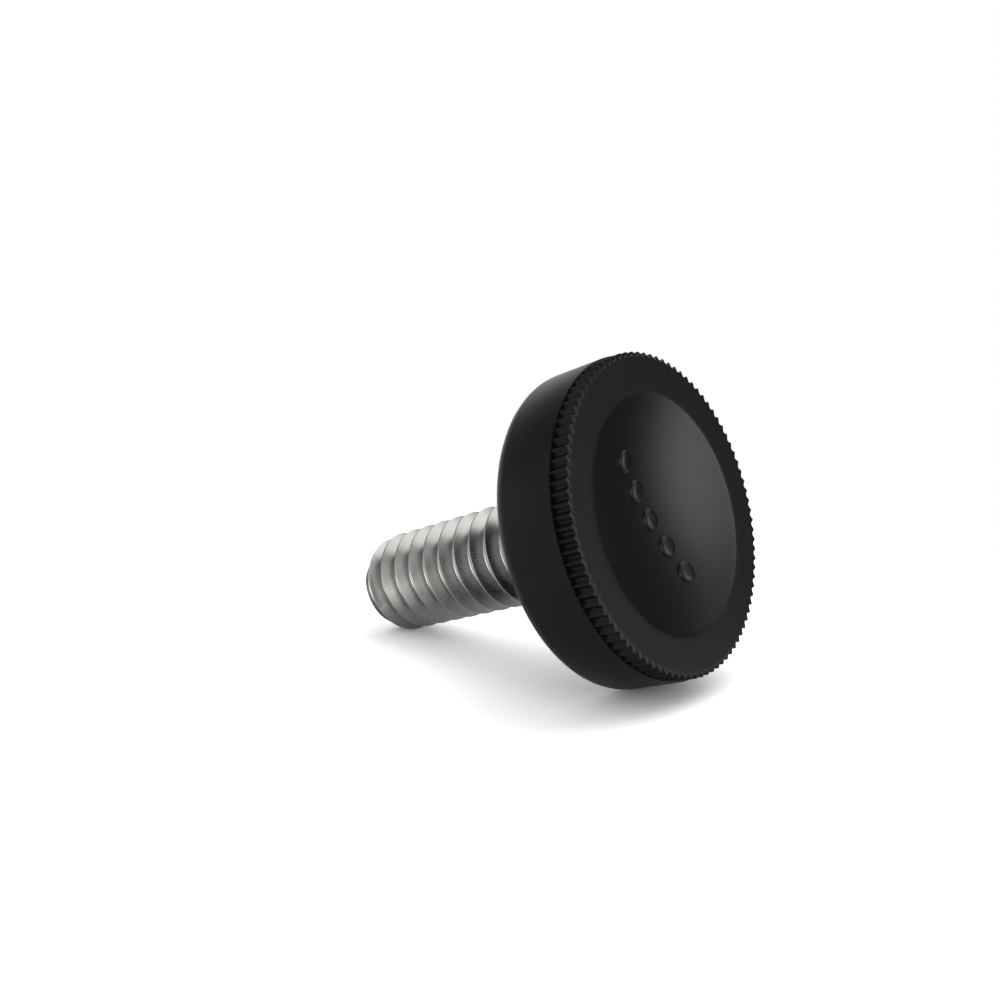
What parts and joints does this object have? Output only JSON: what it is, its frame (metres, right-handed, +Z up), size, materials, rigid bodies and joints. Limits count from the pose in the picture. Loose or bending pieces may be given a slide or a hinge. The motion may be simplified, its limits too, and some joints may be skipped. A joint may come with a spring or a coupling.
{
  "type": "round thumb knob with threaded stud",
  "caption": "Round black thumb knob with a toothed rim, a shallow dish and a row of raised dots, moulded on a threaded steel stud; it lies on its back edge and stud.",
  "frame": {"origin": "centre of the bounding box in X and Y, on the surface the part lies on", "axes": "+Z up, +X the way the front face looks in plan (its axis rises 20 degrees out of the table), stud towards -X, Y across the head"},
  "size_m": [0.0244, 0.0182, 0.0185],
  "materials": {
    "knob_plastic": "fine matte moulded surface, black, with crisp tooth edges",
    "stud_steel": "bright rolled thread, lightly brushed along the turns"
  },
  "bodies": {
    "root": {"knob": "knob_plastic", "stud": "stud_steel"}
  },
  "joints": []
}
